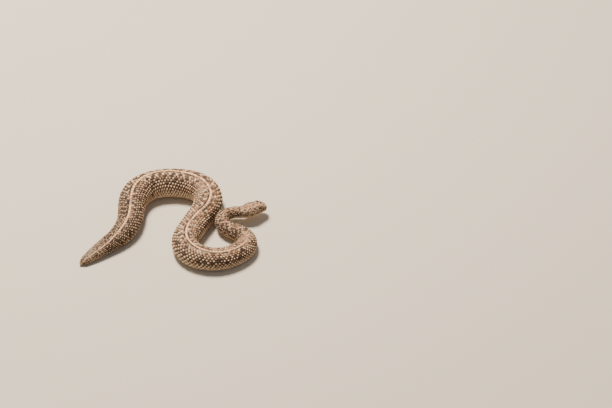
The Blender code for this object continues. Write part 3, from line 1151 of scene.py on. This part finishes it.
class ADDER_OT_back_scales(bpy.types.Operator):
    """Keeled scales in lengthwise rows over back and sides, in five lengths"""

    bl_idname = "adder.back_scales"
    bl_label = "Back scales"
    LENGTHS = (
        ("neck", 0, 58),
        ("front", 58, 108),
        ("middle", 108, 150),
        ("rear", 150, 198),
        ("tail", 198, LENGTH),
    )
    CHANCE_SEED, FLECK_SEED = 7, 19
    HALF_WIDTH = 0.7  # in lanes
    SCALE_LENGTH, ROOT_BEFORE = 1.62, 0.45  # in pitches
    SMALLEST, SIZE_SPREAD = 0.95, 0.1
    LOWEST, HEIGHT_SPREAD, FLANK_RISE = 0.9, 0.2, 0.35
    # The long scales that close the tip of the tail: the first one's height, and how much
    # each next one adds, so that they lie over one another.
    TIP_SCALES, TIP_LENGTH, TIP_HEIGHT, TIP_STEP = 7, 1.1, 1.5, 0.12
    END_SCALE = (0.95, 0.9, 0.8)  # width, height and depth of the scale over their tips
    END_OUT = 0.16  # how far it stands out, as a share of its depth
    END_MARKS = (0.0, 0.5, 0.0, 0.0, 0.6)  # dark, pale, line, edge and flank

    def execute(self, context):
        starts = row_starts()
        numbers = np.arange(len(starts))
        half_rows = context.scene.adder_scales.rows_across // 2
        rows, lanes = np.meshgrid(numbers[:-1], np.arange(-half_rows, half_rows + 1))
        rows, lanes = rows.ravel(), lanes.ravel()
        # Neighbouring lanes are half a row out of step.
        behind = np.interp(rows + 0.5 * (lanes % 2), numbers, starts)
        chance = np.random.default_rng(self.CHANCE_SEED).random(len(behind))
        marks = np.array(pigment(behind, lengthwise_turn(lanes), self.FLECK_SEED))
        for name, start, end in self.LENGTHS:
            here = (behind >= start) & (behind < end)
            self.add_length(name, behind[here], lanes[here], chance[here], marks[:, here])
        self.add_tip_scales()
        self.add_end_scale()
        return {"FINISHED"}

    def add_length(self, name, behind, lanes, chance, marks):
        """The keeled scales of one length of the body."""
        turn = lengthwise_turn(lanes)
        wide = lengthwise_turn(lanes + self.HALF_WIDTH) - lengthwise_turn(lanes - self.HALF_WIDTH)
        size = self.SMALLEST + self.SIZE_SPREAD * chance
        rise = (self.LOWEST + self.HEIGHT_SPREAD * chance) * (1 + self.FLANK_RISE * marks[-1])
        pitch = row_pitch(behind)
        mesh, copy = repeat(KEELED, len(behind))
        x, y = lay_on_body(
            mesh, copy, behind - self.ROOT_BEFORE * pitch, turn, wide / 2 * size,
            self.SCALE_LENGTH * pitch * size, rise, chance,
        )
        patch_map(mesh, copy, x, y, behind, turn)
        away = x * np.where(lanes < 0, -1, 1)[copy]
        set_pigment(mesh, marks[:, copy], y, away, chance[copy])
        add_coat("back_scales_" + name, mesh)

    def add_tip_scales(self):
        """The ring of long scales around the tip of the tail."""
        number = np.arange(self.TIP_SCALES)
        turn = number / self.TIP_SCALES - 0.5
        even = np.full(self.TIP_SCALES, 0.5)
        behind = np.full(self.TIP_SCALES, LENGTH - self.TIP_LENGTH)
        length = np.full(self.TIP_SCALES, self.TIP_LENGTH)
        mesh, copy = repeat(TIP_PETAL, self.TIP_SCALES)
        x, y = lay_on_body(
            mesh, copy, behind, turn, 2 * even / self.TIP_SCALES, length,
            self.TIP_HEIGHT + self.TIP_STEP * number, even,
        )
        # On the map the ring runs aslant, as all its scales start equally far behind the snout.
        patch_map(mesh, copy, x, y, behind + even * turn, turn)
        set_pigment(mesh, np.array(pigment(behind, turn))[:, copy], y, x, even[copy])
        add_coat("tail_tip", mesh)

    def add_end_scale(self):
        """The small round scale that ends the tail."""
        mesh = scale_template(*TAIL_END)
        x, y, z = coordinates(mesh).T
        width, height, depth = self.END_SCALE
        out, aside, up = (z + self.END_OUT) * depth, x * width / 2, (0.5 - y) * height
        way = heading(np.array([LENGTH]))
        ring = np.arange(self.TIP_SCALES) / self.TIP_SCALES - 0.5
        middle = BODY.surface(np.full(self.TIP_SCALES, LENGTH), ring).mean(axis=0)
        turned = np.stack(
            [out * np.cos(way) - aside * np.sin(way), out * np.sin(way) + aside * np.cos(way), up],
            axis=-1,
        )
        place_vertices(mesh, middle + turned)
        corners = 0.5 + 0.4 * np.stack([x, 2 * y - 1], axis=-1)
        set_bake_map(mesh, corners[corner_vertices(mesh)])
        # Part pale and part as dark as the flank, and darkest where it meets its neighbours.
        marks = np.full((5, len(x)), np.array(self.END_MARKS)[:, None])
        set_pigment(mesh, marks, 0.4 + 0.7 * z, x, 0.5)
        add_coat("tail_end", mesh)


class ADDER_OT_belly_plates(bpy.types.Operator):
    """Broad plates across the belly, one to a row, and pairs of plates under the tail"""

    bl_idname = "adder.belly_plates"
    bl_label = "Belly plates"
    CHANCE_SEED = 11
    OVERLAP = 0.012  # how far the plates reach under the back's scales, as a turn
    OUT_OF_STEP = 0.4  # how far the right plate of a pair lies behind the left, in rows
    LAST_ROW = 0.5  # the length taken for the last row
    ROOT_BEFORE, PLATE_LENGTH, HEIGHT = 0.3, 1.4, 1.9
    # On the bake map: how much of its row's strip a plate takes, the middles of a pair, and
    # half the width of a plate of a pair and of a broad one.
    STRIP, LEFT, RIGHT, HALF_OF_PAIR, HALF_OF_BROAD = 0.9, 0.25, 0.75, 0.22, 0.48

    def execute(self, context):
        starts = row_starts()[:-1]
        trunk, tail = starts[starts < VENT], starts[starts >= VENT]
        reach = 0.5 - BACK_REACH + self.OVERLAP
        self.add_plates("belly_plates", BELLY_PLATE, trunk, np.full(len(trunk), 0.5), reach)
        right = tail + self.OUT_OF_STEP * np.diff(tail, append=tail[-1] + self.LAST_ROW)
        turns = np.repeat([0.5 - reach / 2, 0.5 + reach / 2], len(tail))
        pairs = np.concatenate([tail, right])
        self.add_plates("tail_plates", TAIL_PLATE, pairs, turns, reach / 2)
        return {"FINISHED"}

    def add_plates(self, name, kind, behind, turn, reach):
        """One piece of plates, each with its middle at its own turn."""
        pitch = row_pitch(behind)
        chance = np.random.default_rng(self.CHANCE_SEED).random(len(behind))
        mesh, copy = repeat(kind, len(behind))
        even = np.full(len(behind), 0.5)
        x, y = lay_on_body(
            mesh, copy, behind - self.ROOT_BEFORE * pitch, turn, even * 2 * reach,
            self.PLATE_LENGTH * pitch, even * self.HEIGHT, even,
        )
        # Each plate has a strip of the map of its own, and pairs lie side by side there.
        v = behind[copy] + self.STRIP * y * pitch[copy] - behind.min()
        v = v / (np.ptp(behind) + pitch.max())
        paired = np.ptp(turn) > 0
        middle = np.where(turn > 0.5, self.RIGHT, self.LEFT) if paired else even
        u = middle[copy] + (self.HALF_OF_PAIR if paired else self.HALF_OF_BROAD) * x
        corners = np.stack([u, MAP_EDGE + (1 - 2 * MAP_EDGE) * v], axis=-1)
        set_bake_map(mesh, corners[corner_vertices(mesh)])
        around = (turn[copy] + reach * x + 0.5) % 1.0 - 0.5
        set_pigment(mesh, pigment(behind[copy], around), y, x, chance[copy])
        add_coat(name, mesh, belly=True)


# ------------------------------------------------------------------- scales of the head


HEAD_TREE_ROWS, HEAD_TREE_STEP, HEAD_TREE_ENDS, HEAD_TREE_COLUMNS = 14, 0.3, 18.0, 96


def head_tree():
    """The head's smooth surface, before any opening is sunk into it, for nearest points."""
    head = np.arange(SNOUT_ROUND + HEAD_TREE_STEP, HEAD_TREE_ENDS, HEAD_TREE_STEP)
    stations = np.concatenate([snout_dome(HEAD_TREE_ROWS), head])
    mesh, behind, turn, _ = tube_mesh(stations, HEAD_TREE_COLUMNS)
    place_vertices(mesh, skin_points(np.where(behind >= LENGTH, HEAD_TREE_ENDS, behind), turn))
    bm = bmesh.new()
    bm.from_mesh(mesh)
    bpy.data.meshes.remove(mesh)
    tree = BVHTree.FromBMesh(bm)
    bm.free()
    return tree


# How far the middles of the small scales stay from the openings of the head.
LIP_CLEAR, EYE_CLEAR, NOSTRIL_CLEAR = 0.66, 1.3, 0.72
SEEDS_END = HEAD_LENGTH + 0.3
TRIES, EVENING_ROUNDS, SEED_CROWDING = 14000, 45, 1.25
PLACES_SEED = 3


def spread_seeds():
    """Where the small scales of the head sit: spaced evenly, clear of eyes, nostrils, lips."""
    rng = np.random.default_rng(PLACES_SEED)
    rows = np.flatnonzero(BODY.behind < SEEDS_END)
    table = BODY.points[rows][:, :-1]
    around = np.linalg.norm(np.roll(table, -1, axis=1) - table, axis=-1)
    width = np.gradient(BODY.behind[rows])
    area = (around * BODY.pace[rows][:, :-1, 0] * width[:, None]).ravel()
    picked = rng.choice(len(area), TRIES, p=area / area.sum())
    behind = BODY.behind[rows][picked // BODY.COLUMNS]
    turn = picked % BODY.COLUMNS / BODY.COLUMNS - 0.5
    points = BODY.surface(behind, turn)
    clear = gap_to_mouth(points) > LIP_CLEAR
    for side in (1, -1):
        clear &= gap_to_gaze(points, side) > EYE_CLEAR
        clear &= np.linalg.norm(points - nostril(side), axis=1) > NOSTRIL_CLEAR
    open_share = clear.mean()
    behind, turn, points = behind[clear], turn[clear], points[clear]
    # Where the scales are smaller, more of them fit.
    weight = head_spacing(behind, turn) ** -2.0
    count = int(area.sum() * open_share * weight.mean() * SEED_CROWDING)
    seeds = points[rng.choice(len(points), count, replace=False, p=weight / weight.sum())]
    for _ in range(EVENING_ROUNDS):
        # Each seed moves to the middle of the points that lie nearest to it.
        nearest = np.argmin((seeds**2).sum(axis=1)[None] - 2 * points @ seeds.T, axis=1)
        total = np.maximum(np.bincount(nearest, weight, count), 1e-9)
        seeds = np.stack([np.bincount(nearest, weight * c, count) / total for c in points.T], 1)
    chosen = [int(np.argmin(((points - seed) ** 2).sum(axis=1))) for seed in seeds]
    return behind[chosen], turn[chosen]


# The spacing of the small scales, as shares of the setting. It grows between these distances
# behind the snout, and between these turns towards the throat.
SNOUT_SPACING, TEMPLE_ADDS, THROAT_ADDS = 0.85, 0.2, 0.25
TEMPLE_GROWS, THROAT_GROWS = (2.0, 9.0), (0.33, 0.43)


def head_spacing(behind, turn):
    """Scales are smallest on the snout and around the eyes, and largest on temples and throat."""
    back = TEMPLE_ADDS * fade(behind, *TEMPLE_GROWS)
    throat = THROAT_ADDS * fade(np.abs(turn), *THROAT_GROWS)
    return bpy.context.scene.adder_scales.head_scale * (SNOUT_SPACING + back + throat)


ROOT_SHARE = 0.42  # how much of a head scale lies before its place


def lay_on_head(mesh, copy, tree, centre, tipward, outward, half_width, length, rise):
    """Sets each copy around its place, with its tip the way it should point, on the head."""
    x, y, z = coordinates(mesh).T
    sideways = unit(np.cross(tipward, outward))
    spot = (
        centre[copy]
        + sideways[copy] * (x * half_width[copy])[:, None]
        + tipward[copy] * ((y - ROOT_SHARE) * length[copy])[:, None]
    )
    nearest = np.array([tree.find_nearest(Vector(p * MM))[0] for p in spot]) / MM
    place_vertices(mesh, nearest + outward[copy] * (z * rise[copy])[:, None])
    return x, y


def unit(vectors):
    """The same ways, each of length 1."""
    return vectors / np.linalg.norm(vectors, axis=-1, keepdims=True)


def mark_on_head(mesh, copy, behind, turn, x, y, chance, seed):
    """Stores the markings and the bake map of scales on the head."""
    marks = [m[copy] for m in pigment(behind, turn, seed)]
    set_pigment(mesh, marks, y, x * np.sign(turn)[copy], chance[copy])
    patch_map(mesh, copy, x, y, behind, turn)


def place_of(points):
    """Distance behind the snout and turn of points near the head's surface."""
    rows = np.flatnonzero(BODY.behind < HEAD_LENGTH + 1)
    table = BODY.points[rows].reshape(-1, 3)
    found = [int(np.argmin(((table - p) ** 2).sum(axis=1))) for p in points]
    row, column = np.divmod(found, BODY.COLUMNS + 1)
    return BODY.behind[rows][row], column / BODY.COLUMNS - 0.5


class ADDER_OT_head_scales(bpy.types.Operator):
    """Small keeled scales over the head and throat, with rings around eyes and nostrils"""

    bl_idname = "adder.head_scales"
    bl_label = "Head scales"
    CHANCE_SEED, FLECK_SEED, RING_CHANCE_SEED, RING_FLECK_SEED = 5, 29, 9, 31
    HALF_WIDTH, SCALE_LENGTH = 0.76, 1.95  # as shares of their spacing
    HEIGHT, HEIGHT_SPREAD = 0.17, 0.04
    # How many scales are in each ring, how far out they lie, and how long and high they are.
    EYE_RING = (12, 0.98, 0.8, 0.42)
    NOSTRIL_RING = (7, 0.45, 0.44, 0.3)
    EYE_RING_OUT = 0.42  # how far the eye's ring lies outward of the middle of the eye
    RING_OVERLAP, RING_SPREAD = 1.25, 0.1

    def execute(self, context):
        tree = head_tree()
        behind, turn = spread_seeds()
        chance = np.random.default_rng(self.CHANCE_SEED).random(len(behind))
        outward = BODY.normal(behind, turn)
        tailward = unit(BODY.look_up(BODY.tailward, behind, turn))
        spacing = head_spacing(behind, turn)
        mesh, copy = repeat(HEAD_SCALE, len(behind))
        x, y = lay_on_head(
            mesh, copy, tree, BODY.surface(behind, turn), tailward, outward,
            self.HALF_WIDTH * spacing, self.SCALE_LENGTH * spacing,
            self.HEIGHT + self.HEIGHT_SPREAD * chance,
        )
        mark_on_head(mesh, copy, behind, turn, x, y, chance, self.FLECK_SEED)
        add_coat("head_scales", mesh)
        self.add_rings(tree)
        return {"FINISHED"}

    def add_rings(self, tree):
        """The small scales that stand around each eye and each nostril."""
        rings = []
        for side in (1, -1):
            look = eye_axis(side)
            out = BODY.normal(np.array([NOSTRIL_AT]), np.array([side * NOSTRIL_TURN]))[0]
            rings += [
                self.ring(eye_centre(side) + look * self.EYE_RING_OUT, look, *self.EYE_RING),
                self.ring(nostril(side), out, *self.NOSTRIL_RING),
            ]
        centre, radial, axis, sizes = np.split(np.vstack(rings), (3, 6, 9), axis=1)
        behind, turn = place_of(centre)
        outward = unit(axis + BODY.normal(behind, turn))
        chance = np.random.default_rng(self.RING_CHANCE_SEED).random(len(behind))
        sizes = sizes * (1 + self.RING_SPREAD * chance[:, None])
        mesh, copy = repeat(RING_SCALE, len(behind))
        x, y = lay_on_head(mesh, copy, tree, centre, radial, outward, *sizes.T)
        mark_on_head(mesh, copy, behind, turn, x, y, chance, self.RING_FLECK_SEED)
        add_coat("eye_and_nostril_rings", mesh)

    def ring(self, middle, axis, count, reach, length, rise):
        """For each scale of a ring: its place, the ways it points and looks, and its sizes."""
        first = unit(np.cross(axis, [0.0, 0.0, 1.0]))
        angle = 2 * math.pi * np.arange(count)[:, None] / count
        radial = np.cos(angle) * first + np.sin(angle) * np.cross(axis, first)
        half_width = self.RING_OVERLAP * math.pi * reach / count
        sizes = np.tile((half_width, length, rise), (count, 1))
        return np.hstack([middle + radial * reach, radial, np.tile(axis, (count, 1)), sizes])


class ADDER_OT_lips(bpy.types.Operator):
    """Lip plates above and below the mouth, with one plate in front of each jaw"""

    bl_idname = "adder.lips"
    bl_label = "Lip plates"
    CHANCE_SEED, FLECK_SEED = 13, 37
    # How many plates follow the middle one on each side, their height, and their way.
    ROWS = ((12, 0.86, 1.0), (11, 0.74, -1.0))
    # Half the width of the middle plate and of the others, as shares of their pitch.
    MIDDLE_HALF_WIDTH, HALF_WIDTH = 0.6, 0.52
    THICKNESS = 0.2
    GAP = 0.07

    def execute(self, context):
        tree = head_tree()
        left, right = (
            np.hstack([table(*mouth_line(side)) for table in (BODY.surface, BODY.normal)])
            for side in (1, -1)
        )
        middle = (left[:1] + right[:1]) / 2
        # Both sides share the middle plate, so the right side starts at the next one.
        plates = [
            self.row(np.concatenate([middle, line]), first, *row)
            for line, first in ((left, 0), (right, 1))
            for row in self.ROWS
        ]
        centre, upright, outward, sizes = np.split(np.vstack(plates), (3, 6, 9), axis=1)
        behind, turn = place_of(centre)
        chance = np.random.default_rng(self.CHANCE_SEED).random(len(behind))
        mesh, copy = repeat(LIP_PLATE, len(behind))
        x, y = lay_on_head(mesh, copy, tree, centre, upright, outward, *sizes.T)
        mark_on_head(mesh, copy, behind, turn, x, y, chance, self.FLECK_SEED)
        add_coat("lip_plates", mesh, belly=True)
        return {"FINISHED"}

    def row(self, line, first, count, tall, way):
        """For each plate along a lip: its place, the ways it points and looks, and its sizes."""
        steps = np.linalg.norm(np.diff(line[:, :3], axis=0), axis=1)
        run = np.concatenate([[0.0], steps.cumsum()])
        pitch = run[-1] / (count + 0.5)
        number = np.arange(first, count + 1)
        found = np.stack([np.interp(number * pitch, run, c) for c in line.T], axis=1)
        out = unit(found[:, 3:])
        upright = way * unit([0.0, 0.0, 1.0] - out[:, 2:] * out)
        centre = found[:, :3] + upright * (ROOT_SHARE * tall + self.GAP / 2)
        half_width = np.where(number == 0, self.MIDDLE_HALF_WIDTH, self.HALF_WIDTH) * pitch
        height, thick = np.full((2, len(number)), ((tall,), (self.THICKNESS,)))
        return np.column_stack([centre, upright, out, half_width, height, thick])


# --------------------------------------------------------------------------------- eyes


class ADDER_OT_eyes(bpy.types.Operator):
    """Both eyes under their clear scales"""

    bl_idname = "adder.eyes"
    bl_label = "Eyes"
    AROUND, FROM_POLE_TO_POLE = 48, 32

    def execute(self, context):
        for name, side in (("eye_left", 1), ("eye_right", -1)):
            bm = bmesh.new()
            bmesh.ops.create_uvsphere(
                bm, u_segments=self.AROUND, v_segments=self.FROM_POLE_TO_POLE,
                radius=eye_radius() * MM,
            )
            # The sphere's pole looks out of the socket.
            turned = Vector((0, 0, 1)).rotation_difference(Vector(eye_axis(side)))
            bmesh.ops.rotate(bm, matrix=turned.to_matrix(), verts=bm.verts[:])
            bmesh.ops.translate(bm, vec=eye_centre(side) * MM, verts=bm.verts[:])
            mesh = mesh_of(bm, name)
            mesh.shade_smooth()
            material = clear_scale("clear_scale_" + name, side)
            eyeball = add_object("clear_" + name, mesh, material)
            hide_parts(name)
        return {"FINISHED"}


# -------------------------------------------------------------------------------- stage


class ADDER_OT_stage(bpy.types.Operator):
    """Plain pale floor, one large soft light, even fill, and the camera"""

    bl_idname = "adder.stage"
    bl_label = "Stage"
    CAMERA_AIM = (0.07336, 0.01911, 0.0)
    CAMERA_DISTANCE, CAMERA_ELEVATION = 1.72544, 42.0
    LENS_MM, NEAREST_SEEN = 180.0, 0.05
    KEY_FROM, KEY_DISTANCE, KEY_SIZE = (-0.22, 0.42, 1.0), 1.1, 0.3
    FLOOR_HALF, FLOOR_BELOW = 4.0, 0.00005  # the floor lies a hair under the belly

    def execute(self, context):
        self.add_floor()
        self.add_lights(context)
        self.add_camera(context)
        return {"FINISHED"}

    def add_floor(self):
        bm = bmesh.new()
        bmesh.ops.create_grid(bm, x_segments=1, y_segments=1, size=self.FLOOR_HALF)
        bmesh.ops.translate(bm, vec=(0, 0, -self.FLOOR_BELOW), verts=bm.verts[:])
        mesh = mesh_of(bm, "floor")
        mesh.materials.append(backdrop_paper("backdrop_paper"))
        floor = bpy.data.objects.new("floor", mesh)
        bpy.context.scene.collection.objects.link(floor)

    def add_lights(self, context):
        stage = context.scene.adder_stage
        light = bpy.data.lights.new("key", "AREA")
        light.energy = stage.key_power
        light.color = stage.key_colour
        light.size = self.KEY_SIZE
        key = bpy.data.objects.new("key", light)
        direction = Vector(self.KEY_FROM).normalized()
        key.location = direction * self.KEY_DISTANCE
        key.rotation_euler = direction.to_track_quat("Z", "Y").to_euler()
        context.scene.collection.objects.link(key)
        world = bpy.data.worlds.new("studio")
        world.use_nodes = True
        background = world.node_tree.nodes["Background"]
        background.inputs["Color"].default_value = (1.0, 1.0, 1.0, 1.0)
        background.inputs["Strength"].default_value = stage.fill_strength
        context.scene.world = world

    def add_camera(self, context):
        data = bpy.data.cameras.new("camera")
        data.lens = self.LENS_MM
        data.clip_start = self.NEAREST_SEEN
        camera = bpy.data.objects.new("camera", data)
        rise = math.radians(self.CAMERA_ELEVATION)
        back = Vector((0.0, -math.cos(rise), math.sin(rise)))
        camera.location = Vector(self.CAMERA_AIM) + back * self.CAMERA_DISTANCE
        camera.rotation_euler = back.to_track_quat("Z", "Y").to_euler()
        context.scene.collection.objects.link(camera)
        context.scene.camera = camera


class ADDER_PT_panel(bpy.types.Panel):
    """Settings and steps of the sand adder"""

    bl_label = "Sand adder"
    bl_idname = "ADDER_PT_panel"
    bl_space_type = "VIEW_3D"
    bl_region_type = "UI"
    bl_category = "Adder"

    def draw(self, context):
        layout = self.layout
        for group in (context.scene.adder_scales, context.scene.adder_colours,
                      context.scene.adder_stage):
            box = layout.box()
            for name in group.__annotations__:
                box.prop(group, name)
        for step in STEPS:
            layout.operator(step.bl_idname)


STEPS = (
    ADDER_OT_skin,
    ADDER_OT_back_scales,
    ADDER_OT_belly_plates,
    ADDER_OT_head_scales,
    ADDER_OT_lips,
    ADDER_OT_eyes,
    ADDER_OT_stage,
)
GROUPS = {
    "adder_scales": AdderScales,
    "adder_colours": AdderColours,
    "adder_stage": AdderStage,
}


def register():
    for group in GROUPS.values():
        bpy.utils.register_class(group)
    for name, group in GROUPS.items():
        setattr(bpy.types.Scene, name, PointerProperty(type=group))
    for step in STEPS:
        bpy.utils.register_class(step)
    bpy.utils.register_class(ADDER_PT_panel)


def unregister():
    bpy.utils.unregister_class(ADDER_PT_panel)
    for step in reversed(STEPS):
        bpy.utils.unregister_class(step)
    for name, group in reversed(GROUPS.items()):
        delattr(bpy.types.Scene, name)
        bpy.utils.unregister_class(group)


def main():
    register()
    bpy.ops.adder.skin()
    bpy.ops.adder.back_scales()
    bpy.ops.adder.belly_plates()
    bpy.ops.adder.head_scales()
    bpy.ops.adder.lips()
    bpy.ops.adder.eyes()
    bpy.ops.adder.stage()


if __name__ == "__main__":
    main()
